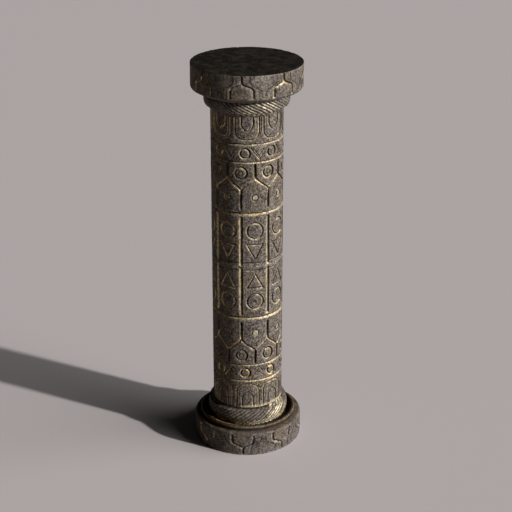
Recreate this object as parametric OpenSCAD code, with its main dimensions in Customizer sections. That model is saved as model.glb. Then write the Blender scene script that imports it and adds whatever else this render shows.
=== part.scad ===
// Round stone column with a carved shaft, built of a base, two shaft drums and a capital.
// Origin at the middle of the underside, +Z up, the front of the carving towards -Y.

/* [Whole column] */
// Height from the ground to the top of the capital
column_h = 7500; // [6000:10:9000]
// Diameter of the shaft
shaft_d = 1336; // [1100:2:1620]
// Times the carved pattern is repeated round the column
folds = 8; // [6:1:10]
// Height of the joint between the two drums, as a share of the shaft's height
drum_joint = 0.505; // [0.48:0.005:0.52]

/* [Base] */
// How far the base disc stands out beyond the shaft
base_disc_out = 367; // [300:1:450]
// Height of the base disc, its shoulder included
base_disc_h = 470; // [390:5:570]
// Radius that rounds the upper edge of the base disc
base_shoulder_r = 48; // [20:1:60]
// Thickness of the round moulding on the base disc
base_bead_d = 100; // [80:1:125]
// Gap between the round moulding and the foot of the rope collar
base_bead_gap = 84; // [20:1:102]
// Height of the plain band under the rope collar on the base
foot_band_h = 35; // [15:1:60]
// How far the rope collar on the base stands out from the shaft
foot_collar_out = 102; // [85:1:125]
// Height of the rope collar on the base
foot_collar_h = 280; // [230:5:340]
// Height of the slope from the base's rope collar in to the shaft
foot_slope_h = 55; // [30:5:90]

/* [Capital] */
// How far the capital's disc stands out beyond the shaft
cap_disc_out = 353; // [290:1:430]
// Height of the capital's upright disc face
cap_disc_h = 415; // [345:5:520]
// Radius that rounds the lower edge of the capital's disc
cap_shoulder_r = 60; // [20:1:75]
// Height of the sloping underside between the disc and the rope collar
cap_splay_h = 95; // [60:5:150]
// How far the rope collar under the capital stands out from the shaft
neck_collar_out = 120; // [100:1:145]
// Height of the rope collar under the capital
neck_collar_h = 190; // [155:5:260]
// Height of the slope from the capital's rope collar in to the shaft
neck_slope_h = 75; // [40:5:120]

/* [Rope collars] */
// How far a rope collar's face bulges at its middle
collar_bulge = 26; // [15:1:35]
// Strands laid round each rope collar
rope_strands = 48; // [36:1:60]
// Width of the groove between two strands
rope_groove_w = 28; // [15:1:36]
// Lean of the strands from upright
rope_lean = 57; // [35:1:60]

/* [Carving] */
// Depth of the carved lines
carve_depth = 20; // [8:1:26]
// Width of the main carved lines
line_w = 44; // [24:1:52]
// Width of the fine carved lines
fine_line_w = 30; // [16:1:36]
// Width of the upright bars between the panels
bar_w = 62; // [36:1:74]
// Plain margin on each side of the joint between the drums
joint_margin = 78; // [60:1:100]

/* [Bands of each drum, as shares of half the shaft's height from the joint] */
// Groove under the hanging loops
loop_ring = 0.811; // [0.8:0.001:0.825]
// Groove between the roundels and the arcade
arcade_ring = 0.696; // [0.68:0.001:0.71]
// Groove between the arcade and the panels
panel_ring = 0.358; // [0.34:0.001:0.375]

/* [Hidden] */
$fn = 96;

shaft_colour = [0.27, 0.25, 0.235];
disc_colour = [0.33, 0.31, 0.29];

shaft_r = shaft_d / 2;
base_disc_r = shaft_r + base_disc_out;
cap_disc_r = shaft_r + cap_disc_out;
pitch = 360 / folds;
rim_r = 10;
bed_sink = 5;

// Heights from the ground
bead_r = base_bead_d / 2;
bead_z = base_disc_h - bed_sink + bead_r;
foot_collar_z = base_disc_h + foot_band_h;
foot_joint_z = foot_collar_z + foot_collar_h + foot_slope_h;
cap_face_z = column_h - cap_disc_h;
neck_collar_z = cap_face_z - cap_shoulder_r - cap_splay_h - neck_collar_h;
neck_joint_z = neck_collar_z - neck_slope_h;
shaft_h = neck_joint_z - foot_joint_z;
mid_joint_z = foot_joint_z + drum_joint * shaft_h;

// Angles of the pattern's centre lines, from the front towards +X
loop_angle = 0;
roundel_angle = -4;
panel_angle = 12.25;
bar_angle = panel_angle - pitch / 2;
disc_arch_angle = -5.5;

// How far the cutters reach into the stone, and how far they stand out of it
cut_in = 2.5 * carve_depth;
cut_out = 30;

// ---- Outlines -------------------------------------------------------------------------------

// Points along a round stretch, from angle a0 to a1
function arc(cx, cz, r, a0, a1, n = 8) =
    [for (i = [0 : n]) let (a = a0 + (a1 - a0) * i / n) [cx + r * cos(a), cz + r * sin(a)]];

function normal(a, b) = let (d = b - a) [-d[1], d[0]] / norm(d);

// A path moved sideways by h, with mitred corners
function beside(path, h) = [for (i = [0 : len(path) - 1])
    let (last = len(path) - 1)
    let (n0 = normal(path[max(i - 1, 0)], path[max(i, 1)]))
    let (n1 = normal(path[min(i, last - 1)], path[min(i + 1, last)]))
    path[i] + (n0 + n1) * h / (1 + n0 * n1)];

function reversed(list) = [for (i = [len(list) - 1 : -1 : 0]) list[i]];
function mirrored(path) = [for (p = reversed(path)) [-p[0], p[1]]];

// The outline of a carved line of width w along a path
function stroke(path, w) = concat(beside(path, w / 2), reversed(beside(path, -w / 2)));

// Right half of an arch whose shoulder ends at height 0: slope down from the tip, round shoulder, leg
function arch_tip(half_w, shoulder_r, slope) =
    shoulder_r * cos(slope) + (half_w - shoulder_r * (1 - sin(slope))) * tan(slope);
function half_arch(half_w, shoulder_r, slope, leg) = concat(
    [[0, arch_tip(half_w, shoulder_r, slope)]],
    arc(half_w - shoulder_r, 0, shoulder_r, 90 - slope, 0),
    [[half_w, -leg]]);
function arch(half_w, shoulder_r, slope, leg) =
    let (right = half_arch(half_w, shoulder_r, slope, leg))
    concat(mirrored([for (i = [1 : len(right) - 1]) right[i]]), right);

// A loop hanging from height top, its lower corners rounded round centres at height 0
function hanging_loop(half_w, corner_r, top) = concat(
    [[-half_w, top]],
    arc(corner_r - half_w, 0, corner_r, 180, 270), arc(half_w - corner_r, 0, corner_r, 270, 360),
    [[half_w, top]]);

// A pointed shield hanging from height top, its point at height 0
function hanging_shield(half_w, shoulder_h, top) =
    let (right = [[0, 0], [0.5 * half_w, 0.3 * shoulder_h], [0.88 * half_w, 0.7 * shoulder_h],
                  [half_w, shoulder_h], [half_w, top]])
    concat([for (p = reversed(right)) if (p[0] > 0) [-p[0], p[1]]], right);

module ring_line(r, w) {
    difference() {
        circle(r + w / 2);
        circle(r - w / 2);
    }
}

// Line round a triangle that stands on (or hangs from) its level side
module triangle_line(half_w, h, w) {
    lean = atan(half_w / abs(h));
    function corners(d) = let (s = sign(h)) [
        [-half_w - (d / cos(lean) + d * tan(lean)), -s * d],
        [half_w + (d / cos(lean) + d * tan(lean)), -s * d],
        [0, h + s * d / sin(lean)]];
    difference() {
        polygon(corners(w / 2));
        polygon(corners(-w / 2));
    }
}

// ---- Placing the carving --------------------------------------------------------------------

// Repeats a cutter round the column, the first one at an angle from the front
module around(angle, count = folds) {
    for (i = [0 : count - 1])
        rotate([0, 0, angle + i * 360 / count])
            children();
}

// Sets an outline upright in front of a face of radius r, and drives it into the stone
module driven(r, height) {
    translate([0, -(r - cut_in), height])
        rotate([90, 0, 0])
            linear_extrude(cut_in + cut_out)
                children();
}

module ring_groove(r, height, w) {
    translate([0, 0, height - w / 2])
        difference() {
            cylinder(h = w, r = r + cut_out);
            translate([0, 0, -1])
                cylinder(h = w + 2, r = r - cut_in);
        }
}

// ---- The shaft ------------------------------------------------------------------------------

// Heights from the joint between the drums
band_scale = shaft_h / 2;
loop_ring_h = loop_ring * band_scale;
arcade_ring_h = arcade_ring * band_scale;
panel_ring_h = panel_ring * band_scale;

loop_half_w = shaft_r * sin(0.4 * pitch);
inner_loop_half_w = shaft_r * sin(0.21 * pitch);
loop_end_h = loop_ring_h + 0.15 * (band_scale - loop_ring_h);
loop_corner_r = 160;
shield_point_h = loop_end_h + 160;
shield_shoulder_h = 130;

roundel_band_h = loop_ring_h - arcade_ring_h;
roundel_h = arcade_ring_h + 0.5 * roundel_band_h;
roundel_r = 0.26 * roundel_band_h;
vee_half_w = shaft_r * sin(0.25 * pitch);

arcade_h = arcade_ring_h - panel_ring_h;
cell_half_w = shaft_r * sin(pitch / 2);
cell_shoulder_r = 135;
cell_slope = 38;
cell_tip_h = arcade_ring_h - 0.315 * arcade_h;
cell_shoulder_h = cell_tip_h - arch_tip(cell_half_w, cell_shoulder_r, cell_slope);
cell_leg_h = panel_ring_h + 0.1 * arcade_h;
cell_ring_r = 0.105 * arcade_h;
cell_boss_r = 0.055 * arcade_h;

panel_h = panel_ring_h - joint_margin;
bar_end_h = 0.55 * joint_margin;
panel_circle_h = joint_margin + 0.65 * panel_h;
panel_circle_r = 0.155 * panel_h;
panel_triangle_h = joint_margin + 0.365 * panel_h;
panel_triangle_rise = 0.285 * panel_h;
panel_triangle_half_w = 0.155 * panel_h;

module loops() {
    around(loop_angle)
        driven(shaft_r, loop_end_h + loop_corner_r)
            polygon(stroke(hanging_loop(loop_half_w, loop_corner_r, band_scale), fine_line_w));
    around(loop_angle)
        driven(shaft_r, shield_point_h)
            polygon(stroke(hanging_shield(inner_loop_half_w, shield_shoulder_h, band_scale), fine_line_w));
}

module roundels() {
    around(roundel_angle)
        driven(shaft_r, roundel_h)
            ring_line(roundel_r, line_w);
    around(roundel_angle + pitch / 2)
        driven(shaft_r, roundel_h)
            polygon(stroke([[-vee_half_w, 0.3 * roundel_band_h], [0, -0.33 * roundel_band_h],
                            [vee_half_w, 0.3 * roundel_band_h]], fine_line_w));
}

// Two rows of cells with a net of pointed arches between them
module arcade() {
    around(panel_angle)
        driven(shaft_r, cell_shoulder_h) {
            polygon(stroke(arch(cell_half_w, cell_shoulder_r, cell_slope, line_w / 2), line_w));
            translate([-line_w / 2, cell_tip_h - cell_shoulder_h])
                square([line_w, arcade_ring_h - cell_tip_h - line_w]);
        }
    around(bar_angle)
        driven(shaft_r, cell_leg_h)
            translate([-line_w / 2, 0])
                square([line_w, cell_shoulder_h - cell_leg_h + line_w]);
    around(bar_angle)
        driven(shaft_r, cell_tip_h + 0.11 * arcade_h)
            ring_line(cell_ring_r, line_w);
    around(panel_angle)
        driven(shaft_r, cell_shoulder_h - 0.1 * arcade_h)
            ring_line(cell_boss_r, fine_line_w);
}

module panels() {
    around(bar_angle)
        driven(shaft_r, bar_end_h)
            translate([-bar_w / 2, 0])
                square([bar_w, joint_margin + 0.91 * panel_h - bar_end_h]);
    around(panel_angle)
        driven(shaft_r, panel_circle_h)
            ring_line(panel_circle_r, line_w);
    around(panel_angle)
        driven(shaft_r, panel_triangle_h)
            triangle_line(panel_triangle_half_w, -panel_triangle_rise, fine_line_w);
}

// One drum of height h, standing on the joint between the drums at height 0
module drum(h) {
    cylinder(h = h, r = shaft_r - carve_depth);
    difference() {
        cylinder(h = h, r = shaft_r);
        ring_groove(shaft_r, loop_ring_h, line_w);
        ring_groove(shaft_r, arcade_ring_h, fine_line_w);
        ring_groove(shaft_r, panel_ring_h, line_w);
        ring_groove(shaft_r, joint_margin, fine_line_w);
        loops();
        roundels();
        arcade();
        panels();
    }
}

// ---- Rope collars and discs -----------------------------------------------------------------

collar_root = 60;

// Section of a rope collar that bulges out to radius r, from radius inner and height 0
module collar_section(r, inner, h) {
    curve_r = (h * h / 4 + collar_bulge * collar_bulge) / (2 * collar_bulge);
    intersection() {
        translate([r - curve_r, h / 2])
            circle(curve_r);
        translate([inner, 0])
            square([r - inner, h]);
    }
}

// A rope collar of outer radius r, its strands falling towards +X when hand is 1
module rope_collar(r, h, hand) {
    inner = r - collar_bulge - carve_depth - collar_root;
    rotate_extrude()
        collar_section(r - carve_depth, inner, h);
    difference() {
        rotate_extrude()
            collar_section(r, inner, h);
        around(0, rope_strands)
            driven(r, h / 2)
                rotate([0, 0, hand * rope_lean])
                    square([rope_groove_w, 0.92 * h / cos(rope_lean)], center = true);
    }
}

// Pointed arches with a stem above, cut round a disc's upright face; height 0 is the rim
disc_stem_h = 110;
disc_rim_margin = 25;
disc_leg_margin = 40;
disc_arch_shoulder_r = 90;
disc_arch_slope = 28;
module disc_arches(r, face_h) {
    half_w = r * sin(0.26 * pitch);
    rise = arch_tip(half_w, disc_arch_shoulder_r, disc_arch_slope);
    leg = face_h - disc_stem_h - rise - disc_leg_margin;
    around(disc_arch_angle)
        driven(r, -disc_stem_h - rise) {
            polygon(stroke(arch(half_w, disc_arch_shoulder_r, disc_arch_slope, leg), line_w));
            translate([-line_w / 2, rise])
                square([line_w, disc_stem_h - disc_rim_margin]);
        }
}

// Radii of the collars, and of the plain stone that their edges stand proud of
collar_step = 4;
neck_collar_r = shaft_r + neck_collar_out;
neck_root_r = neck_collar_r - collar_bulge - collar_step;
foot_collar_r = shaft_r + foot_collar_out;
foot_root_r = foot_collar_r - collar_bulge - collar_step;
moulding_r = foot_root_r + base_bead_gap + bead_r;

// Slope from a collar's edge at radius r in to the shaft, as a share of the way and of the height
function slope_point(r) = shaft_r + 0.15 * (r - shaft_r);
slope_turn = 0.4;

// Outline of the capital, from the axis out and up
cap_outline = concat(
    [[0, neck_joint_z], [shaft_r, neck_joint_z],
     [slope_point(neck_root_r), neck_joint_z + slope_turn * neck_slope_h],
     [neck_root_r, neck_collar_z], [neck_root_r, neck_collar_z + neck_collar_h]],
    arc(cap_disc_r - cap_shoulder_r, cap_face_z, cap_shoulder_r, -65, 0, 5),
    arc(cap_disc_r - rim_r, column_h - rim_r, rim_r, 0, 90, 3),
    [[0, column_h]]);

// Outline of the base without its round moulding, from the axis out and up
base_outline = concat(
    [[0, 0]],
    arc(base_disc_r - rim_r, rim_r, rim_r, -90, 0, 3),
    arc(base_disc_r - base_shoulder_r, base_disc_h - base_shoulder_r, base_shoulder_r, 0, 90, 5),
    [[moulding_r + 0.6 * bead_r, base_disc_h], [foot_root_r, base_disc_h],
     [foot_root_r, foot_joint_z - foot_slope_h],
     [slope_point(foot_root_r), foot_joint_z - slope_turn * foot_slope_h],
     [shaft_r, foot_joint_z], [0, foot_joint_z]]);

module capital() {
    color(disc_colour) {
        translate([0, 0, cap_face_z])
            cylinder(h = cap_disc_h - rim_r, r = cap_disc_r - carve_depth);
        difference() {
            rotate_extrude()
                polygon(cap_outline);
            translate([0, 0, column_h])
                disc_arches(cap_disc_r, cap_disc_h);
        }
        translate([0, 0, neck_collar_z])
            rope_collar(neck_collar_r, neck_collar_h, 1);
    }
}

module base() {
    color(disc_colour) {
        translate([0, 0, rim_r])
            cylinder(h = base_disc_h - base_shoulder_r - rim_r, r = base_disc_r - carve_depth);
        difference() {
            rotate_extrude()
                polygon(base_outline);
            mirror([0, 0, 1])
                disc_arches(base_disc_r, base_disc_h - base_shoulder_r);
        }
        rotate_extrude()
            translate([moulding_r, bead_z])
                circle(bead_r);
        translate([0, 0, foot_collar_z])
            rope_collar(foot_collar_r, foot_collar_h, -1);
    }
}

module upper_drum() {
    color(shaft_colour)
        translate([0, 0, mid_joint_z])
            drum(neck_joint_z - mid_joint_z);
}

module lower_drum() {
    color(shaft_colour)
        translate([0, 0, mid_joint_z])
            mirror([0, 0, 1])
                drum(mid_joint_z - foot_joint_z);
}

base();
lower_drum();
upper_drum();
capital();
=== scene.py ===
"""A tall round stone column: base, two carved shaft drums and a capital, gilding worn into the lines."""
import itertools
import math

import bmesh
import bpy
import numpy as np
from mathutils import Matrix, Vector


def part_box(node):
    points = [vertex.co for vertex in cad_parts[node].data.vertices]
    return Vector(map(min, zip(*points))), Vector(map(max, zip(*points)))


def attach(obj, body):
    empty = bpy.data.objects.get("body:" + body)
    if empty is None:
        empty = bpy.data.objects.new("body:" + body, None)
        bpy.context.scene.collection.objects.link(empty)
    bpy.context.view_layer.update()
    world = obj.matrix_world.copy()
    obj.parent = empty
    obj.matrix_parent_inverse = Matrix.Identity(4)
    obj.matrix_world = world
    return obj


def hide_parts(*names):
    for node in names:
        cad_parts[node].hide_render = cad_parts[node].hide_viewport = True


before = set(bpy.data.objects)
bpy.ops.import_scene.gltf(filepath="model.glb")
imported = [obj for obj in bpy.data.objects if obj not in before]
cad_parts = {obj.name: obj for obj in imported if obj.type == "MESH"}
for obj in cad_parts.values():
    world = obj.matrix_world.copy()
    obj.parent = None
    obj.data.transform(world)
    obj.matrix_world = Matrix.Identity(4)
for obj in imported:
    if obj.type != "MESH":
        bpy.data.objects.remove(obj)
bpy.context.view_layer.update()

# ---- Sizes, from the frame ---------------------------------------------------------------------

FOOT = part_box("lower_drum")[0].z            # joint between base and shaft
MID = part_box("upper_drum")[0].z             # joint between the drums
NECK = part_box("capital")[0].z               # joint between shaft and capital
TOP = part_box("capital")[1].z
SHAFT_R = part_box("upper_drum")[1].x
BASE_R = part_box("base")[1].x
CAP_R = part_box("capital")[1].x

FOLDS = 8                                   # times the pattern repeats round the column
PITCH = 2 * math.pi / FOLDS
HALF_SHAFT = (NECK - FOOT) / 2

# Heights of the bands, from the joint between the drums
LOOP_RING = 0.811 * HALF_SHAFT
ARCADE_RING = 0.696 * HALF_SHAFT
PANEL_RING = 0.358 * HALF_SHAFT
JOINT_RING = 0.074                          # a faint line above and below the joint

# Centre lines of the pattern, in degrees from the front towards +X
LOOP_ANGLE = 0.0
ROUNDEL_ANGLE = -3.75
VEE_ANGLE = 18.75
PANEL_ANGLE = 12.25
BAR_ANGLE = PANEL_ANGLE - 22.5
DISC_ANGLE = -5.5
DART_ANGLE = 22.5

# Loops under the collars, each round a pointed shield
LOOP_HALF_W = SHAFT_R * math.radians(18.6)
LOOP_CORNER_R = 0.16                        # radius of a loop's round end
LOOP_END = LOOP_RING + 0.085                # height of that end
LOOP_INSET = 0.048                          # from a loop's main line to the finer one inside it
SHIELD_HALF_W = SHAFT_R * math.radians(9.2)
SHIELD_TIP = LOOP_RING + 0.242
DART_TIP = LOOP_RING + 0.12

# Row of ringed bosses
ROUNDEL_R = 0.086
ROUNDEL_BOSS_R = 0.062

# Net of pointed arches with a boss in each cell
ARCH_HALF_W = SHAFT_R * PITCH / 2
ARCH_SHOULDER_R = 0.110
ARCH_SLOPE = 38                             # of an arch's limbs, in degrees
ARCH_TIP = ARCADE_RING - 0.315 * (ARCADE_RING - PANEL_RING)
LEG_END = PANEL_RING + 0.115 * (ARCADE_RING - PANEL_RING)
RINGED_BOSS_R = 0.106
RINGED_DOME_R = 0.088
RINGED_BOSS_Z = ARCH_TIP + 0.108
SMALL_BOSS_R = 0.060
SMALL_DOME_R = 0.040
SMALL_BOSS_DROP = 0.105                     # below the arches' shoulders

# Panels between the bars, each with a ring over a triangle
BAR_W = 0.064
PANEL_CIRCLE_R = 0.152
PANEL_CIRCLE_Z = 0.705
TRIANGLE_HALF_W = 0.155
TRIANGLE_H = 0.275
TRIANGLE_Z = 0.430                          # height of its level side

# Ogee arches on the discs, measured from the edge they point at
OGEE_SHOULDER = 0.29
OGEE_HALF_W = 0.208
OGEE_STEM = 0.13

# Rope collars
COLLAR_BULGE = 0.026
COLLAR_STEP = 0.004
ROPE_STRANDS = 48
ROPE_LEAN = math.radians(57)
ROPE_DEPTH = 0.024
NECK_COLLAR_R = SHAFT_R + 0.120
NECK_COLLAR_Z = NECK + 0.075
NECK_COLLAR_H = 0.190
NECK_COLLAR_TOP = NECK_COLLAR_Z + NECK_COLLAR_H
NECK_ROOT_R = NECK_COLLAR_R - COLLAR_BULGE - COLLAR_STEP
FOOT_COLLAR_R = SHAFT_R + 0.102
FOOT_COLLAR_Z = 0.505
FOOT_COLLAR_H = 0.280
FOOT_COLLAR_TOP = FOOT_COLLAR_Z + FOOT_COLLAR_H
FOOT_ROOT_R = FOOT_COLLAR_R - COLLAR_BULGE - COLLAR_STEP

# Discs
RIM = 0.010
CAP_FACE_Z = TOP - 0.415
CAP_SHOULDER = 0.060
BASE_DISC_H = 0.470
BASE_SHOULDER = 0.048
BEAD_R = 0.050
BEAD_RING_R = FOOT_ROOT_R + 0.084 + BEAD_R
BEAD_Z = BASE_DISC_H - 0.005 + BEAD_R

# Carved lines
LINE = 0.044                                # width of a main carved line
FINE = 0.031                                # width of a fine carved line
DEPTH = 0.020                               # depth of a main carved line

# Wear of the stone's face
LIP_RISE = 0.0020                           # how far the edges of a carved line stand proud
SWELL_DEPTH = 0.0012
ROUGH_DEPTH = 0.0010
PIT_DEPTH = 0.006
CHIP_DEPTH = 0.009
ARRIS = 0.004                               # the eased edge of a drum
RIM_WEAR = 0.02                             # how far wear reaches from a disc's outer edge

# Share of the gold left on each of the eight arches of a disc, and on each small boss, counted from the
# front one towards +X
CAP_GOLD = (0.55, 0.70, 0.45, 0.25, 0.60, 0.35, 0.50, 0.70)
BASE_GOLD = (0.32, 0.24, 0.40, 0.30, 0.50, 0.25, 0.40, 0.58)
BOSS_GOLD = (0.95, 0.40, 0.50, 0.30, 0.60, 0.30, 0.50, 0.25)


# ---- Soft noise and small helpers --------------------------------------------------------------

LATTICE = 32


def soft_noise(points, size, seed):
    """Smooth noise from -1 to 1 at points, with lumps about size across."""
    table = np.random.default_rng(seed).uniform(-1, 1, (LATTICE,) * 3)
    scaled = points / np.asarray(size)
    cell = np.floor(scaled).astype(int)
    part = scaled - cell
    part = part * part * (3 - 2 * part)
    total = np.zeros(len(points))
    for corner in itertools.product((0, 1), repeat=3):
        share = np.prod(np.where(corner, part, 1 - part), axis=1)
        i, j, k = ((cell + corner) % LATTICE).T
        total += share * table[i, j, k]
    return total


def smooth_step(low, high, value):
    t = np.clip((value - low) / (high - low), 0, 1)
    return t * t * (3 - 2 * t)


def arc(centre, radius, start, end, count=8):
    """Points round part of a circle, angles in degrees."""
    angles = np.radians(np.linspace(start, end, count + 1))
    return [(centre[0] + radius * math.cos(a), centre[1] + radius * math.sin(a)) for a in angles]


# ---- Carved lines ------------------------------------------------------------------------------

def to_segment(u, v, a, b):
    """Distance from points (u, v) to the straight line from a to b."""
    run = (b[0] - a[0], b[1] - a[1])
    t = ((u - a[0]) * run[0] + (v - a[1]) * run[1]) / (run[0] ** 2 + run[1] ** 2)
    t = np.clip(t, 0, 1)
    return np.hypot(u - a[0] - t * run[0], v - a[1] - t * run[1])


def to_path(u, v, path):
    return np.minimum.reduce([to_segment(u, v, a, b) for a, b in zip(path, path[1:])])


def to_ring(u, v, radius):
    return np.abs(np.hypot(u, v) - radius)


def arch_rise(half_w, shoulder, slope):
    s = math.radians(slope)
    return shoulder * math.cos(s) + (half_w - shoulder * (1 - math.sin(s))) * math.tan(s)


def arch_limb(half_w, shoulder, slope, leg):
    """Right half of an arch: from its tip down the slope, round the shoulder at height 0, down the leg."""
    tip = (0, arch_rise(half_w, shoulder, slope))
    return [tip] + arc((half_w - shoulder, 0), shoulder, 90 - slope, 0) + [(half_w, -leg)]


def ogee_limb(half_w, leg):
    """Right half of an ogee arch: steep at the tip, hollow, then round into the leg at height 0."""
    shoulder = 0.085
    hollow = [(0, 0.160), (0.009, 0.136), (0.026, 0.116), (0.056, 0.100), (0.092, 0.086), (0.124, 0.072)]
    return hollow + arc((half_w - shoulder, -0.014), shoulder, 62, 0, 5) + [(half_w, -leg)]


class Carving:
    """Depth, gilding, dirt and painted shade, and nearness of the carved lines at points on a round face.
    """

    def __init__(self, points, radius, height):
        self.angle = np.arctan2(points[:, 0], -points[:, 1])
        self.radius = radius
        self.height = height
        self.lower = points[:, 2] < MID
        self.waver_u = 0.0035 * soft_noise(points, 0.16, 11) + 0.0015 * soft_noise(points, 0.05, 12)
        self.waver_v = 0.0035 * soft_noise(points, 0.16, 13) + 0.0015 * soft_noise(points, 0.05, 14)
        self.width = 1 + 0.20 * soft_noise(points, 0.11, 15)
        self.strength = 0.94 + 0.20 * soft_noise(points, 0.30, 16) + 0.10 * soft_noise(points, 0.07, 17)
        self.worn = soft_noise(points, 0.22, 18) + 0.5 * soft_noise(points, 0.06, 19)
        self.cut = np.zeros(len(points))
        self.lip = np.zeros(len(points))
        self.gilt = np.zeros(len(points))
        self.leaf = np.zeros(len(points))
        self.dirt_and_shade = np.zeros(len(points))
        self.stain = np.zeros(len(points))
        self.near = np.full(len(points), 1.0)

    def round_from(self, degrees):
        """Distance round the face from the nearest repeat of a centre line."""
        turn = self.angle - math.radians(degrees)
        turn = (turn + PITCH / 2) % PITCH - PITCH / 2
        return turn * self.radius + self.waver_u

    def beside(self, degrees, spread):
        """1 round the direction degrees, fading to 0 about spread degrees away."""
        away = (np.degrees(self.angle) - degrees + 180) % 360 - 180
        return np.exp(-(away / spread) ** 4)

    def repeat_of(self, degrees):
        """Number of the repeat that each point belongs to, counted from the one at the front."""
        return np.round((self.angle - math.radians(degrees)) / PITCH).astype(int) % FOLDS

    def up_from(self, height):
        return self.height - height + self.waver_v

    def left(self, gilt):
        """How much gold is left where gilt of it was, after uneven wear."""
        return np.clip(gilt + 0.35 * self.worn, 0, 1) * (np.asarray(gilt) > 0)

    def line(self, distance, width, depth=1.0, gilt=0.5, steep=1.0):
        """Cuts a line where distance is small; the less gold is left in it, the more dirt and painted shade
        it holds.
        """
        half = width / 2 * self.width
        t = distance / half
        shape = np.clip((1.1 - t) * steep, 0, 1)
        self.cut = np.maximum(self.cut, DEPTH * depth * self.strength * shape)
        self.lip = np.maximum(self.lip, np.exp(-((t - 1.4) / 0.35) ** 2) * np.minimum(1.0, depth))
        inside = 1 - smooth_step(0.75, 1.25, t)
        self.gilt = np.maximum(self.gilt, self.left(gilt) * inside)
        self.dirt_and_shade = np.maximum(self.dirt_and_shade, (1 - gilt) * inside)
        beside = 1 - smooth_step(0.0, 0.030, distance - width / 2)
        self.stain = np.maximum(self.stain, np.clip(depth - 0.4, 0, 0.8) * beside)
        self.near = np.minimum(self.near, distance - width / 2)

    def dome(self, distance, radius, rise, gilt=0.0):
        """Raises a round boss of a given rise."""
        self.cut -= rise * np.sqrt(1 - np.clip(distance / radius, 0, 1) ** 2)
        self.leaf = np.maximum(self.leaf, self.left(gilt) * (1 - smooth_step(0.8, 1.1, distance / radius)))
        self.near = np.minimum(self.near, distance - radius)


def carve_loops(c):
    """Nested loops that hang from the collar, each round a pointed shield, with darts between them."""
    kept = 0.5 + 0.4 * c.beside(-50, 28) - 0.2 * c.lower
    u = c.round_from(LOOP_ANGLE)
    side, v = np.abs(u), c.up_from(LOOP_END + LOOP_CORNER_R)
    corner = np.hypot(np.maximum(side - (LOOP_HALF_W - LOOP_CORNER_R), 0), v)
    outer = np.where(v < 0, np.abs(corner - LOOP_CORNER_R), np.abs(side - LOOP_HALF_W))
    c.line(outer, FINE, depth=0.9, gilt=kept)
    end = np.abs(corner - (LOOP_CORNER_R - LOOP_INSET))
    inner = np.where(v < 0, end, np.abs(side - LOOP_HALF_W + LOOP_INSET))
    c.line(inner, width=0.018, depth=0.22, gilt=kept - 0.05)
    shield = [(0, 0), (0.022, 0.008), (0.048, 0.026), (0.074, 0.054), (0.094, 0.090)]
    shield += [(SHIELD_HALF_W, 0.130), (SHIELD_HALF_W, 0.40)]
    c.line(to_path(side, c.up_from(SHIELD_TIP), shield), FINE, depth=0.9, gilt=kept - 0.05)
    stroke = to_segment(u, c.up_from(LOOP_RING + 0.27), (0.008, 0.0), (0.05, 0.055))
    c.line(stroke, width=0.022, depth=0.6, gilt=0.6)
    w, v = c.round_from(DART_ANGLE), c.up_from(DART_TIP)
    c.line(to_segment(np.abs(w), v, (0.022, 0.070), (0.072, 0.0)), width=0.020, depth=0.7, gilt=0.4)
    c.line(to_segment(w, v, (0, 0.12), (0, 0.36)), width=0.018, depth=0.35, gilt=0.1)
    # The lower loops hold less dirt and painted shade, and are worn shallower
    c.dirt_and_shade *= 1 - 0.45 * c.lower
    c.cut *= 1 - 0.15 * c.lower


def carve_roundels(c):
    """A row of ringed bosses with veed lines between them."""
    u, v = c.round_from(ROUNDEL_ANGLE), c.up_from((LOOP_RING + ARCADE_RING) / 2)
    c.line(to_ring(u, v, ROUNDEL_R), width=0.046, depth=1.2, gilt=0.55)
    c.line(to_segment(u, v, (-0.012, 0.0), (0.016, 0.004)), width=0.016, depth=0.35, gilt=0.4)
    c.dome(np.hypot(u, v), ROUNDEL_BOSS_R, rise=0.006)
    u = c.round_from(VEE_ANGLE)
    vee = [(-0.150, 0.100), (0.010, -0.112), (0.075, -0.020)]
    c.line(to_path(u, v, vee), width=0.026, depth=0.85, gilt=0.5)
    c.line(to_segment(u, v, (-0.085, 0.060), (0.030, -0.095)), width=0.016, depth=0.5, gilt=0.4)
    c.line(to_segment(u, v, (0.020, 0.0), (0.090, 0.072)), width=0.020, depth=0.6, gilt=0.4)


def carve_net(c, u, w, shoulder):
    """Pointed arches centred on u = 0, a stem on each tip, and a leg under each shoulder, on w = 0."""
    path = arch_limb(ARCH_HALF_W, ARCH_SHOULDER_R, ARCH_SLOPE, 0.02)
    limb = to_path(np.abs(u), c.up_from(shoulder), path)
    c.line(limb, LINE, depth=1.15, gilt=0.55 + 0.35 * c.beside(-45, 30))
    # One slanting limb of each arch keeps gold on both walls of its groove
    one_limb = np.where(c.lower, u, -u) > 0
    kept = 1 - 0.5 * c.beside(-10, 16)
    c.leaf = np.maximum(c.leaf, one_limb * kept * c.left(0.62) * (1 - smooth_step(0.004, 0.014, limb)))
    stem = to_segment(u, c.up_from(ARCH_TIP), (0, 0.02), (0, ARCADE_RING - ARCH_TIP - 0.05))
    c.line(stem, LINE * 1.05, depth=1.5, gilt=0.0, steep=2.2)
    leg = to_segment(w, c.up_from(LEG_END), (0, 0), (0, shoulder - LEG_END))
    c.line(leg, LINE * 1.1, depth=1.4, gilt=0.12, steep=1.5)


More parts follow.
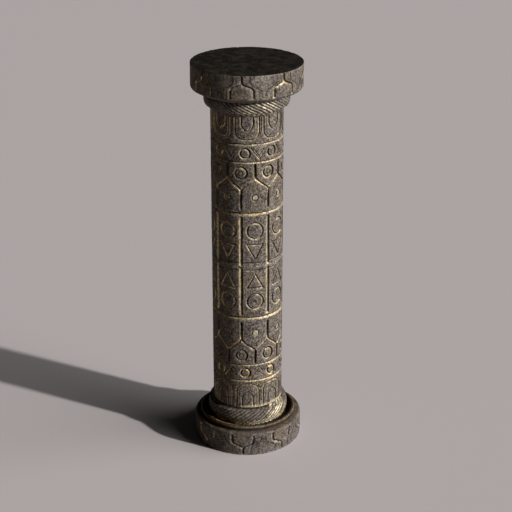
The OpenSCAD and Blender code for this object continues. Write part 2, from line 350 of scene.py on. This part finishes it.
def carve_arcade(c):
    """Two rows of cells parted by a net of pointed arches, a ringed boss or a small boss in each cell."""
    shoulder = ARCH_TIP - arch_rise(ARCH_HALF_W, ARCH_SHOULDER_R, ARCH_SLOPE)
    u, w = c.round_from(PANEL_ANGLE), c.round_from(BAR_ANGLE)
    carve_net(c, u, w, shoulder)
    # Ringed bosses between the stems, cut deeper on their right
    v = c.up_from(RINGED_BOSS_Z)
    right = smooth_step(-0.06, 0.06, w)
    c.line(to_ring(w, v, RINGED_BOSS_R), width=0.050, depth=0.75 + 0.4 * right, gilt=0.42 - 0.16 * right)
    off_centre = w + 0.008
    c.dome(np.hypot(off_centre, v), RINGED_DOME_R, rise=0.012)
    c.line(to_ring(off_centre, v, 0.040), width=0.018, depth=0.35, gilt=0.2)
    # Small gilt bosses under the arches
    v = c.up_from(shoulder - SMALL_BOSS_DROP)
    c.line(to_ring(u, v, SMALL_BOSS_R), width=0.030, depth=0.6, gilt=0.40)
    c.dome(np.hypot(u, v), SMALL_DOME_R, rise=0.026, gilt=np.array(BOSS_GOLD)[c.repeat_of(PANEL_ANGLE)])


def carve_panels(c):
    """Tall panels between gilt bars, each with a ring over a triangle."""
    bar = to_segment(c.round_from(BAR_ANGLE), c.up_from(0), (0, 0.05), (0, PANEL_RING - 0.085))
    c.line(bar, BAR_W, depth=1.25, gilt=0.95)
    u, v = c.round_from(PANEL_ANGLE), c.up_from(PANEL_CIRCLE_Z)
    kept = 0.45 + 0.45 * c.beside(-45, 30)
    under = np.where(c.lower, v, -v) > 0
    c.line(to_ring(u, v, PANEL_CIRCLE_R), width=0.040, depth=1.0, gilt=kept + 0.3 * under)
    left, right = (-TRIANGLE_HALF_W, 0.0), (TRIANGLE_HALF_W, 0.0)
    triangle = [left, right, (0.0, -TRIANGLE_H), left]
    c.line(to_path(u, c.up_from(TRIANGLE_Z), triangle), width=0.034, depth=0.9, gilt=kept)


def carve_rings(c):
    """The level grooves that part the bands."""
    kept = 1 - 0.25 * c.beside(-15, 24)
    for height, width, depth, gilt in (
        (LOOP_RING, 0.041, 1.1, 0.78),
        (ARCADE_RING, 0.032, 1.0, 0.66),
        (PANEL_RING, 0.052, 1.3, 1.0),
        (JOINT_RING, 0.024, 0.7, 0.2),
    ):
        c.line(np.abs(c.up_from(height)), width, depth, gilt * kept)


def carve_shaft(points):
    c = Carving(points, SHAFT_R, np.abs(points[:, 2] - MID))
    carve_loops(c)
    carve_roundels(c)
    carve_arcade(c)
    carve_panels(c)
    carve_rings(c)
    return c


def carve_disc(points, radius, drop, gold):
    """Ogee arches round an upright disc face; drop is the distance from the edge they point at."""
    c = Carving(points, radius, -drop)
    u = c.round_from(DISC_ANGLE)
    side, v = np.abs(u), c.up_from(-OGEE_SHOULDER)
    outer = [(0.155, 0.26), (0.155, 0.155), (0.185, 0.105), (0.262, 0.070)]
    outer += [(0.335, 0.022), (0.362, -0.04), (0.368, -0.10)]
    c.line(to_path(side, v, outer), width=0.026, depth=np.where(u > 0, 0.45, 0.2), gilt=0.18)
    kept = np.array(gold)[c.repeat_of(DISC_ANGLE)] * np.where(u > 0.03, 0.75, 1)
    c.line(to_path(side, v, ogee_limb(OGEE_HALF_W, 0.12)), LINE * 1.05, depth=1.3, gilt=kept)
    stem = to_segment(u, c.up_from(-OGEE_STEM), (0, 0), (0, 0.10))
    c.line(stem, LINE * 0.9, depth=1.3, gilt=0.05, steep=1.5)
    return c


def carve_rope(points, radius, low, height, hand):
    """Strands laid round a collar whose lower edge is at low; hand is 1 where they fall towards +X."""
    c = Carving(points, radius, points[:, 2])
    up = points[:, 2] - (low + height / 2)
    lay = math.tan(ROPE_LEAN) / radius
    turn = c.angle + hand * lay * up
    bend = 0.16 * np.sin(up / height * 2.6)
    phase = turn * ROPE_STRANDS / (2 * math.pi) + bend + 0.11 * soft_noise(points, 0.10, 21)
    number = np.round(phase).astype(int) % ROPE_STRANDS
    across = np.abs(phase - np.round(phase)) * 2
    strand = 1 - np.sqrt(np.clip(1 - across ** 2.2, 0, 1))
    own = np.random.default_rng(22).uniform(0, 1, ROPE_STRANDS)[number]
    c.cut = ROPE_DEPTH * strand * c.strength + 0.004 * own
    c.gilt = np.clip(0.1 + 0.35 * own + 0.5 * c.worn, 0, 1) * (1 - smooth_step(0.35, 0.8, across))
    # Dirt and painted shade in the gaps between the strands
    c.dirt_and_shade = smooth_step(0.45, 0.9, across)
    c.lip = (1 - across) * (0.25 + 0.5 * own)
    c.own = own                             # each strand's own random share, from 0 to 1
    c.near = np.full(len(points), -1.0)
    return c


# ---- Turned pieces -----------------------------------------------------------------------------

def spaced(outline, step):
    """The outline with points added so that none are further apart than step."""
    points = [outline[0]]
    for a, b in zip(outline, outline[1:]):
        count = max(1, math.ceil(math.dist(a, b) / step))
        points += [(a[0] + (b[0] - a[0]) * i / count, a[1] + (b[1] - a[1]) * i / count)
                   for i in range(1, count + 1)]
    return points


def turned(outline, steps):
    """A closed turned shape. Each point remembers its radius, so that added points stay round."""
    bm = bmesh.new()
    verts = [bm.verts.new((r, 0, z)) for r, z in outline]
    edges = [bm.edges.new(pair) for pair in zip(verts, verts[1:])]
    bmesh.ops.spin(bm, geom=verts + edges, cent=(0, 0, 0), axis=(0, 0, 1), dvec=(0, 0, 0),
                   angle=2 * math.pi, steps=steps, use_merge=True)
    bmesh.ops.remove_doubles(bm, verts=bm.verts[:], dist=1e-5)
    bmesh.ops.recalc_face_normals(bm, faces=bm.faces[:])
    around = bm.verts.layers.float.new("around")
    for vert in bm.verts:
        vert[around] = math.hypot(vert.co.x, vert.co.y)
    return bm


def refine(bm, carve, reach):
    """Splits the faces that lie within reach of a carved line, and rounds the new points."""
    faces = bm.faces[:]
    middles = np.array([f.calc_center_median() for f in faces])
    near = carve(middles).near
    picked = {edge for face, gap in zip(faces, near) if gap < reach for edge in face.edges}
    bmesh.ops.subdivide_edges(bm, edges=list(picked), cuts=1, use_grid_fill=True)
    around = bm.verts.layers.float["around"]
    for vert in bm.verts:
        flat = math.hypot(vert.co.x, vert.co.y)
        if flat > 1e-6:
            vert.co.x *= vert[around] / flat
            vert.co.y *= vert[around] / flat


def shape_of(mesh):
    """The mesh's points and their normals, as rows."""
    points, normals = np.empty(len(mesh.vertices) * 3), np.empty(len(mesh.vertices) * 3)
    mesh.vertices.foreach_get("co", points)
    mesh.vertex_normals.foreach_get("vector", normals)
    return points.reshape(-1, 3), normals.reshape(-1, 3)


def weather(points, c):
    """How far wear, pits and chips have eaten into the stone."""
    swell = soft_noise(points, 0.32, 31) + 0.5 * soft_noise(points, 0.12, 32)
    rough = soft_noise(points, 0.045, 33)
    pit = smooth_step(0.45, 0.8, soft_noise(points, 0.075, 34)) * (0.5 + 0.5 * soft_noise(points, 0.02, 35))
    chip = smooth_step(0.15, 0.75, soft_noise(points, 0.09, 36) + 0.4 * soft_noise(points, 0.03, 37))
    face = SWELL_DEPTH * (1.5 + swell) + ROUGH_DEPTH * (1 + rough)
    return face + PIT_DEPTH * pit + CHIP_DEPTH * chip * c.edge


def finished(node, bm, carve, bed, slot):
    """Cuts the carving into a turned shape, weathers it, and makes it the piece for its node."""
    mesh = bpy.data.meshes.new("carved_" + node)
    bm.to_mesh(mesh)
    bm.free()
    points, normals = shape_of(mesh)
    c = carve(points)
    move = LIP_RISE * c.lip - c.cut - weather(points, c)
    move[bed(points)] = 0
    mesh.vertices.foreach_set("co", (points + normals * move[:, None]).ravel())
    mesh.polygons.foreach_set("use_smooth", [True] * len(mesh.polygons))
    mesh.update()
    tilt = shape_of(mesh)[1] - normals
    to_right = tilt[:, 0] * np.cos(c.angle) + tilt[:, 1] * np.sin(c.angle)
    # Painted light and shade: the carved lines keep their gold only on walls that lean to the right or
    # upwards, towards the light, and their dirt only on the others; any wall or bump that leans away from
    # the light is darkened as painted shade too
    lean = 0.75 * to_right + 0.65 * tilt[:, 2]
    gilt = np.maximum(c.gilt * smooth_step(-0.12, 0.10, lean), c.leaf)
    dirt_and_shade = np.clip(c.dirt_and_shade * smooth_step(0.35, -0.1, lean) + 0.9 * smooth_step(0.12, 0.5, -lean), 0, 1)
    # Pale worn edges, lips and chips; on the bead's ridge this paleness is a painted highlight
    worn = np.clip(0.95 * c.lip + c.edge, 0, 1)
    marks = {"gilt": gilt, "dirt_and_shade": dirt_and_shade, "worn": worn, "shade": c.shade, "brown": c.brown}
    for mark, values in marks.items():
        mesh.attributes.new(mark, "FLOAT", "POINT").data.foreach_set("value", values.astype(np.float32))
    mesh.materials.append(stone(slot))
    piece = bpy.data.objects.new("carved_" + node, mesh)
    bpy.context.collection.objects.link(piece)
    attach(piece, "root")
    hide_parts(node)
    return piece


# ---- The four pieces ---------------------------------------------------------------------------

STEPS = 128                                 # points round a drum before the carved parts are refined
DISC_STEPS = 192                            # points round the base and the capital
CLOSE = 0.030                               # how near a line the mesh is refined first
CLOSER = 0.002                              # and how near it is refined again, on the drums
ON_FACE = 0.03                              # how far behind a disc's face points still belong to it
ON_BED = 1e-4                               # how near a level bed points still belong to it


def marks_on(c, edge, shade=0.0, brown=0.0):
    """Adds the marks for chipped edges, dark upper faces, and brown by the carving, with painted shade in
    brown on the side away from the light.
    """
    c.edge = edge
    c.shade = shade + np.zeros(len(edge))
    # Painted shade: the side turned away from the light is browned and darkened
    painted_shade_away = 0.5 * c.beside(-74, 50)
    c.brown = np.clip(brown + painted_shade_away + c.stain * (0.45 + 0.35 * c.worn), 0, 1)
    return c


def gild_foot(c, height):
    """A line of gold round the foot of the shaft, mostly gone on the side away from the light."""
    at_foot = 1 - smooth_step(0.032, 0.056, height - FOOT)
    kept = 1.0 - 0.75 * c.beside(-48, 42)
    c.leaf = np.maximum(c.leaf, at_foot * np.clip(kept + 0.4 * c.worn, 0, 1))


def drum(node, low, high):
    """A shaft drum, its arrises eased where it meets its neighbours."""
    face = spaced([(SHAFT_R, low + ARRIS), (SHAFT_R, high - ARRIS)], 2 * math.pi * SHAFT_R / STEPS)
    outline = [(0, low), (SHAFT_R * 0.5, low), (SHAFT_R - ARRIS, low)] + face
    outline += [(SHAFT_R - ARRIS, high), (SHAFT_R * 0.5, high), (0, high)]

    def carve(points):
        c = carve_shaft(points)
        height = points[:, 2]
        gild_foot(c, height)
        to_joint = np.minimum(height - low, high - height)
        return marks_on(c, 0.8 * (1 - smooth_step(0.0, 0.02, to_joint)))

    def bed(points):
        return np.hypot(points[:, 0], points[:, 1]) < SHAFT_R - ARRIS / 2

    bm = turned(outline, STEPS)
    refine(bm, carve, CLOSE)
    refine(bm, carve, CLOSER)
    return finished(node, bm, carve, bed, "shaft_stone")


def collar_outline(radius, low, height):
    """The bulging face of a rope collar, from its lower edge up."""
    curve = (height ** 2 / 4 + COLLAR_BULGE ** 2) / (2 * COLLAR_BULGE)
    lean = math.degrees(math.asin(height / 2 / curve))
    return arc((radius - curve, low + height / 2), curve, -lean, lean, 12)


def slope_in(root, low, high):
    """The hollow that leads from the shaft, at height low, out to radius root at height high."""
    reach = root - SHAFT_R
    return [(SHAFT_R + reach * t ** 2.2, low + (high - low) * t) for t in (0, 0.2, 0.4, 0.6, 0.8, 1)]


def join(c, rope, on_face, on_rope):
    """Keeps the disc's carving on its face and the strands on the rope, and clears the rest."""
    for mark in ("cut", "lip", "gilt", "leaf", "dirt_and_shade", "stain"):
        setattr(c, mark, np.where(on_rope, getattr(rope, mark), getattr(c, mark) * on_face))
    c.near = np.where(on_rope, rope.near, np.where(on_face, c.near, 1.0))


def neck_rope(points):
    """The upper rope: deep strands near the front towards +X, gilt there and less darkened, partly gilding
    and partly a painted highlight where the light falls; worn and darker ones elsewhere.
    """
    rope = carve_rope(points, NECK_COLLAR_R, NECK_COLLAR_Z, NECK_COLLAR_H, hand=1)
    # Round 18 degrees the light falls on the strands: the extra gold there is partly a painted highlight,
    # and the gaps get less painted shade
    bright = rope.beside(18, 24)
    rope.dirt_and_shade *= 1 - 0.45 * bright
    rope.gilt = np.clip(rope.gilt + (0.25 + 0.6 * rope.own) * bright * (1 - rope.dirt_and_shade), 0, 1)
    rope.cut *= smooth_step(NECK + 0.015, NECK + 0.055, points[:, 2]) * (0.35 + 0.65 * bright)
    return rope


def carve_capital(points):
    """The disc's arches and the rope below them."""
    height = points[:, 2]
    radius = np.hypot(points[:, 0], points[:, 1])
    on_face = (height > CAP_FACE_Z - ON_FACE) & (radius > CAP_R - ON_FACE)
    on_rope = (height > NECK + 0.015) & (height < NECK_COLLAR_TOP + 0.001) & (radius < NECK_COLLAR_R + 0.01)
    c = carve_disc(points, CAP_R, TOP - height, CAP_GOLD)
    join(c, neck_rope(points), on_face, on_rope)
    pale_patch = 0.45 * on_face * c.beside(13, 13)
    c.lip = np.maximum(c.lip, pale_patch)
    at_rim = np.exp(-(((TOP - height) / RIM_WEAR) ** 2)) * (radius > CAP_R - ON_FACE)
    return marks_on(c, at_rim * 0.6, shade=smooth_step(TOP - 0.012, TOP - 0.002, height))


def capital():
    """The upper rope collar and the round disc on it, one block."""
    shoulder = arc((CAP_R - CAP_SHOULDER, CAP_FACE_Z), CAP_SHOULDER, -65, 0, 5)
    rim = arc((CAP_R - RIM, TOP - RIM), RIM, 0, 90, 3)
    step = 2 * math.pi * CAP_R / DISC_STEPS
    outline = [(0, NECK)] + slope_in(NECK_ROOT_R, NECK, NECK_COLLAR_Z)
    outline += collar_outline(NECK_COLLAR_R, NECK_COLLAR_Z, NECK_COLLAR_H)
    outline += spaced([(NECK_ROOT_R, NECK_COLLAR_TOP), shoulder[0]], step) + shoulder[1:]
    outline += spaced([shoulder[-1], rim[0]], step)[1:] + rim[1:]
    outline += spaced([rim[-1], (0, TOP)], 0.06)[1:]

    def bed(points):
        return points[:, 2] < NECK + ON_BED

    bm = turned(outline, DISC_STEPS)
    refine(bm, carve_capital, CLOSE)
    return finished("capital", bm, carve_capital, bed, "capital_stone")


def foot_rope(points):
    """The lower rope: gold low on its strands and on the side towards the light, flatter elsewhere."""
    rope = carve_rope(points, FOOT_COLLAR_R, FOOT_COLLAR_Z, FOOT_COLLAR_H, hand=-1)
    height = points[:, 2]
    low = 1 - smooth_step(0.045, 0.120, height - FOOT_COLLAR_Z + 0.03 * rope.worn)
    bright, lit = rope.beside(28, 34), rope.beside(45, 50)
    rope.gilt *= 0.4
    rope.dirt_and_shade *= 0.5 + 0.45 * lit
    rope.cut *= 0.55 + 0.35 * lit
    gold = np.maximum(low * (0.2 + 0.8 * bright), 0.75 * rope.beside(52, 26) * rope.own)
    rope.leaf = gold * (1 - rope.dirt_and_shade) * (0.75 + 0.7 * rope.own)
    # On the slope above, the strands fade out and dirt and painted shade darken the crease against the
    # shaft
    fade = 1 - 0.85 * smooth_step(FOOT_COLLAR_TOP - 0.03, FOOT_COLLAR_TOP + 0.012, height)
    by_shaft = smooth_step(FOOT_COLLAR_TOP + 0.012, FOOT_COLLAR_TOP + 0.036, height)
    rope.cut *= fade
    rope.dirt_and_shade = np.maximum(rope.dirt_and_shade * fade, by_shaft)
    return rope


def dress_bead(c, radius, height):
    """Dirt and painted shade in the bead's recess and the crease outside it, a painted highlight along its
    ridge, and a wash of gold on the bead; returns how brown the stone round it is.
    """
    inner = (radius < BASE_R - 0.05) & (height > BASE_DISC_H - 0.03)
    brown = inner * (1 - smooth_step(0.03, 0.26, height - BASE_DISC_H)) * (0.75 + 0.4 * c.worn)
    # Painted highlight along the top of the bead's ridge
    ridge_highlight = np.exp(-((radius - BEAD_RING_R - 0.033) / 0.009) ** 2) * (height > BEAD_Z + 0.010) * inner
    on_bead = (height < BEAD_Z + BEAD_R + 0.01) * (radius > FOOT_ROOT_R + 0.002) * inner
    outer_half = 0.4 * smooth_step(0.022, 0.034, radius - BEAD_RING_R)
    # Painted shade in the crease between the bead and the disc
    crease_shade = smooth_step(0.045, 0.015, height - BASE_DISC_H) * (radius > BEAD_RING_R)
    # Painted shade over the bead and its recess, less on its outer half, none on the ridge's highlight
    bead_dirt_and_shade = 0.95 + 0.2 * c.worn - outer_half + crease_shade - 1.1 * ridge_highlight
    c.dirt_and_shade = np.maximum(c.dirt_and_shade, on_bead * np.clip(bead_dirt_and_shade, 0, 1))
    wash = on_bead * (radius < BEAD_RING_R) * c.beside(-28, 26) * np.clip(0.45 + 0.5 * c.worn, 0, 1)
    c.leaf = np.maximum(c.leaf, 0.7 * wash)
    c.lip = np.maximum(c.lip, ridge_highlight)
    return brown * (1 - 0.8 * ridge_highlight)


def carve_base(points):
    """The disc's arches, the bead on top of the disc and the rope above it."""
    height = points[:, 2]
    radius = np.hypot(points[:, 0], points[:, 1])
    on_face = (height < BASE_DISC_H - 0.01) & (radius > BASE_R - ON_FACE)
    at_rope = (height > FOOT_COLLAR_Z - 0.001) & (height < FOOT - 0.004)
    on_rope = at_rope & (radius < FOOT_COLLAR_R + 0.01)
    c = carve_disc(points, BASE_R, height, BASE_GOLD)
    join(c, foot_rope(points), on_face, on_rope)
    c.stain *= 0.2
    brown = dress_bead(c, radius, height)
    at_rim = np.exp(-((height / RIM_WEAR) ** 2)) * (radius > BASE_R - ON_FACE)
    return marks_on(c, at_rim, brown=np.clip(brown, 0, 1))


def base():
    """The round disc with its bead, and the lower rope collar, one block."""
    rim = arc((BASE_R - RIM, RIM), RIM, -90, 0, 3)
    shoulder = arc((BASE_R - BASE_SHOULDER, BASE_DISC_H - BASE_SHOULDER), BASE_SHOULDER, 0, 90, 6)
    step = 2 * math.pi * BASE_R / DISC_STEPS
    outline = spaced([(0, 0), rim[0]], 0.1) + rim[1:]
    outline += spaced([rim[-1], shoulder[0]], step)[1:] + shoulder[1:]
    lean = math.degrees(math.asin((BEAD_Z - BASE_DISC_H) / BEAD_R))
    outline += arc((BEAD_RING_R, BEAD_Z), BEAD_R, -lean, 180 + lean, 12)
    outline += [(FOOT_ROOT_R, BASE_DISC_H), (FOOT_ROOT_R, FOOT_COLLAR_Z)]
    outline += collar_outline(FOOT_COLLAR_R, FOOT_COLLAR_Z, FOOT_COLLAR_H)
    outline += slope_in(FOOT_ROOT_R, FOOT, FOOT_COLLAR_TOP)[::-1] + [(0, FOOT)]

    def bed(points):
        return (points[:, 2] < ON_BED) | (points[:, 2] > FOOT - ON_BED)

    bm = turned(outline, DISC_STEPS)
    refine(bm, carve_base, CLOSE)
    return finished("base", bm, carve_base, bed, "base_stone")


# ---- Materials ---------------------------------------------------------------------------------

class Nodes:
    """Short calls for laying out a material's nodes."""

    def __init__(self, name):
        self.material = bpy.data.materials.new(name)
        self.material.use_nodes = True
        self.tree = self.material.node_tree
        self.tree.nodes.clear()

    def add(self, kind, inputs=(), **settings):
        node = self.tree.nodes.new(kind)
        for key, value in settings.items():
            setattr(node, key, value)
        for key, value in dict(inputs).items():
            if isinstance(value, bpy.types.NodeSocket):
                self.tree.links.new(value, node.inputs[key])
            else:
                node.inputs[key].default_value = value
        return node

    def noise(self, where, scale, detail=4.0, roughness=0.55):
        return self.add("ShaderNodeTexNoise", {"Vector": where, "Scale": scale, "Detail": detail,
                                               "Roughness": roughness}).outputs["Fac"]

    def math(self, operation, a, b=0.0, clamp=False):
        return self.add("ShaderNodeMath", {0: a, 1: b}, operation=operation, use_clamp=clamp).outputs[0]

    def ramp(self, value, low, high, low_to=0.0, high_to=1.0):
        return self.add("ShaderNodeMapRange", {"Value": value, "From Min": low, "From Max": high,
                                               "To Min": low_to, "To Max": high_to}).outputs["Result"]

    def mix(self, share, a, b):
        node = self.add("ShaderNodeMix", {"Factor": share}, data_type="RGBA")
        for socket, value in ((node.inputs[6], a), (node.inputs[7], b)):
            if isinstance(value, bpy.types.NodeSocket):
                self.tree.links.new(value, socket)
            else:
                socket.default_value = (*value, 1)
        return node.outputs[2]

    def mark(self, name):
        return self.add("ShaderNodeAttribute", attribute_name=name).outputs["Fac"]

    def finish(self, shader):
        out = self.add("ShaderNodeOutputMaterial")
        self.tree.links.new(shader.outputs["BSDF"], out.inputs["Surface"])


# Colours of the bare stone
BODY = (0.028, 0.021, 0.015), (0.118, 0.099, 0.082)             # dark and pale
TINT = (0.113, 0.081, 0.049), (0.080, 0.071, 0.079)             # warm and cool
DARK_PATCH = (0.032, 0.025, 0.018)
GRAIN = (0.016, 0.011, 0.007), (0.290, 0.252, 0.212)            # dark and pale
STREAK = (0.022, 0.017, 0.012), (0.235, 0.206, 0.172)           # dark and pale
# WORN is also the colour of the painted highlight on the base's bead ridge
WORN = (0.340, 0.302, 0.256)
# BROWN also serves as painted shade on the side away from the light, besides the brown by the carving and
# round the bead
BROWN = (0.018, 0.010, 0.004), (0.085, 0.056, 0.022)            # dark and pale

# Colours of what lies on it, the dirt colours also serving as painted shade in the carving and on faces
# turned from the light
DIRT_AND_SHADE = (0.0060, 0.0032, 0.0012), (0.030, 0.014, 0.0050)         # plain and brown
TOP_DIRT = (0.0040, 0.0030, 0.0022), (0.022, 0.016, 0.011)      # dark and pale
TOP_GRAIN = (0.060, 0.048, 0.036)
LEAF = (0.270, 0.198, 0.092), (0.520, 0.458, 0.352)             # dark and pale
WARM_LEAF = (0.240, 0.140, 0.034), (0.640, 0.480, 0.210)        # dark and pale

# How strongly each stone shows its grain, streaks and bumps
GRAININESS = {"base_stone": 0.60, "capital_stone": 0.70, "shaft_stone": 1.0}

# How brown the stone is where its gold starts to look warmer, where it is warmest, and how warm that is
WARM_GOLD = {
    "base_stone": (0.55, 0.95, 0.9),
    "capital_stone": (0.3, 0.7, 0.4),
    "shaft_stone": (0.2, 0.6, 0.65),
}

STONES = {}


def bare_stone(n, tex, rich):
    """The stone's colour: body, tinted and dark patches, grain, streaks, worn edges (with a painted
    highlight on the bead's ridge) and brown (with painted shade on the side away from the light).
    """
    tint = n.mix(n.ramp(tex["cloud"], 0.42, 0.58), *TINT)
    body = n.mix(n.ramp(tex["blotch"], 0.36, 0.64), *BODY)
    body = n.mix(n.ramp(tex["patch"], 0.46, 0.60, 0.0, 0.75), body, tint)
    body = n.mix(n.ramp(tex["patch"], 0.34, 0.46, 0.75, 0.0), body, DARK_PATCH)
    body = n.mix(n.ramp(tex["grain"], 0.50, 0.64, 0.0, 0.75 * rich), body, GRAIN[1])
    body = n.mix(n.ramp(tex["grain"], 0.36, 0.48, 0.85 * rich, 0.0), body, GRAIN[0])
    body = n.mix(n.ramp(tex["streak"], 0.56, 0.70, 0.0, 0.40 * rich), body, STREAK[1])
    body = n.mix(n.ramp(tex["streak"], 0.32, 0.44, 0.6 * rich, 0.0), body, STREAK[0])
    worn = n.math("MULTIPLY", n.mark("worn"), n.ramp(tex["grain"], 0.38, 0.58), clamp=True)
    body = n.mix(n.math("MULTIPLY", worn, 0.75), body, WORN)
    return n.mix(n.mark("brown"), body, n.mix(n.ramp(tex["blotch"], 0.4, 0.62), *BROWN))


def shaded_and_dirty_stone(n, tex, body, dirt_and_shade):
    """Dirt and painted shade in the carving and on faces turned from the light, and a dark crust on the
    upper face.
    """
    body = n.mix(dirt_and_shade, body, n.mix(n.mark("brown"), *DIRT_AND_SHADE))
    top = n.mix(n.ramp(tex["patch"], 0.44, 0.62), *TOP_DIRT)
    top = n.mix(n.ramp(tex["grain"], 0.56, 0.70, 0.0, 0.6), top, TOP_GRAIN)
    return n.mix(n.math("MULTIPLY", n.mark("shade"), 0.97), body, top)


def relief(n, tex, rich):
    """The small bumps of the stone's surface."""
    tall = n.math("ADD", n.math("MULTIPLY", tex["grain"], 0.9), n.math("MULTIPLY", tex["blotch"], 0.9))
    tall = n.math("ADD", tall, n.math("MULTIPLY", tex["streak"], 0.6))
    tall = n.math("ADD", tall, n.math("MULTIPLY", tex["speck"], 0.25))
    bump = n.add("ShaderNodeBump", {"Height": tall, "Strength": 0.6 * rich, "Distance": 0.018})
    return bump.outputs["Normal"]


def stone(name):
    """Weathered dark stone, with worn gilding where the carving left it, and the painted light and shade
    carried by the marks.
    """
    if name in STONES:
        return STONES[name]
    n = Nodes(name)
    where = n.add("ShaderNodeTexCoord").outputs["Object"]
    streaked = n.add("ShaderNodeMapping", {"Vector": where, "Scale": (1, 1, 0.2)}).outputs["Vector"]
    tex = {
        "cloud": n.noise(where, 3.0, 5),
        "blotch": n.noise(where, 10.0, 5, 0.65),
        "grain": n.noise(where, 30.0, 4, 0.7),
        "speck": n.noise(where, 62.0, 3, 0.7),
        "streak": n.noise(streaked, 34.0, 4, 0.65),
        "patch": n.noise(where, 6.5, 4, 0.6),
    }
    rich = GRAININESS[name]
    body = bare_stone(n, tex, rich)
    # Dirt and painted shade from the mesh's mark
    dirt_and_shade = n.math("MULTIPLY", n.mark("dirt_and_shade"), 0.95, clamp=True)
    body = shaded_and_dirty_stone(n, tex, body, dirt_and_shade)
    flake = n.ramp(n.noise(where, 24.0, 3, 0.6), 0.32, 0.50)
    gold = n.ramp(n.math("MULTIPLY", n.mark("gilt"), flake, clamp=True), 0.15, 0.55)
    leaf = n.mix(n.ramp(tex["grain"], 0.36, 0.60), *LEAF)
    warm_leaf = n.mix(n.ramp(tex["grain"], 0.36, 0.60), *WARM_LEAF)
    start, end, warmest = WARM_GOLD[name]
    colour = n.mix(gold, body, n.mix(n.ramp(n.mark("brown"), start, end, 0.0, warmest), leaf, warm_leaf))
    rough = n.ramp(tex["blotch"], 0.3, 0.7, 0.58, 0.78)
    shader = n.add("ShaderNodeBsdfPrincipled", {
        "Base Color": colour,
        "Metallic": n.math("MULTIPLY", gold, 0.45),
        "Roughness": n.add("ShaderNodeMix", {"Factor": gold, "A": rough, "B": 0.48}).outputs[0],
        "Specular IOR Level": n.ramp(dirt_and_shade, 0.0, 1.0, 0.16, 0.02),
        "Normal": relief(n, tex, rich),
    })
    n.finish(shader)
    STONES[name] = n.material
    return n.material


# ---- Floor, light and camera -------------------------------------------------------------------

FLOOR_COLOUR = (0.512, 0.470, 0.473)
FLOOR_SIZE = 200
LIGHT_ANGLE = 62.6                          # where the light comes from, from the front towards +X
SKY_STRENGTH = 0.010
LENS = 96.16                                # in millimetres, on a sensor 36 wide
CAMERA_AT = (0, -23.775, 13.781)
CAMERA_DOWN = 22.927                        # degrees below level
CAMERA_TURN = -0.394                        # degrees away from straight ahead


def plain(name, colour, roughness):
    n = Nodes(name)
    n.finish(n.add("ShaderNodeBsdfPrincipled", {"Base Color": (*colour, 1), "Roughness": roughness}))
    return n.material


def floor():
    bm = bmesh.new()
    bmesh.ops.create_grid(bm, x_segments=1, y_segments=1, size=FLOOR_SIZE)
    mesh = bpy.data.meshes.new("floor")
    bm.to_mesh(mesh)
    bm.free()
    mesh.materials.append(plain("pale_floor", FLOOR_COLOUR, 0.9))
    ground = bpy.data.objects.new("floor", mesh)
    bpy.context.collection.objects.link(ground)


def sun(name, strength, spread, elevation, colour, further=0):
    """A sun lamp; spread and elevation are in degrees, and further turns it on past LIGHT_ANGLE."""
    light = bpy.data.lights.new(name, "SUN")
    light.energy = strength
    light.angle = math.radians(spread)
    light.color = colour
    lamp = bpy.data.objects.new(name, light)
    bpy.context.collection.objects.link(lamp)
    lamp.rotation_euler = (math.radians(90 - elevation), 0, math.radians(LIGHT_ANGLE + further))


def lights():
    """A low sun from the right, a wide soft light from the same side, and hardly any sky."""
    sun("low_sun", strength=4.72, spread=2.0, elevation=20, colour=(1.0, 0.985, 0.965))
    sun("soft_side", strength=1.72, spread=50, elevation=28, colour=(1.0, 0.99, 0.985), further=17)
    world = bpy.data.worlds.new("sky")
    bpy.context.scene.world = world
    world.use_nodes = True
    back = world.node_tree.nodes["Background"]
    back.inputs["Color"].default_value = (1.0, 1.0, 1.0, 1)
    back.inputs["Strength"].default_value = SKY_STRENGTH


def camera():
    lens = bpy.data.cameras.new("camera")
    lens.lens = LENS
    lens.sensor_width = 36
    eye = bpy.data.objects.new("camera", lens)
    bpy.context.collection.objects.link(eye)
    eye.location = CAMERA_AT
    eye.rotation_euler = (math.radians(90 - CAMERA_DOWN), 0, math.radians(CAMERA_TURN))
    bpy.context.scene.camera = eye


# ---- Making it ---------------------------------------------------------------------------------

camera()
lights()
floor()
base()
drum("lower_drum", FOOT, MID)
drum("upper_drum", MID, NECK)
capital()

bpy.context.scene.view_settings.view_transform = "Standard"
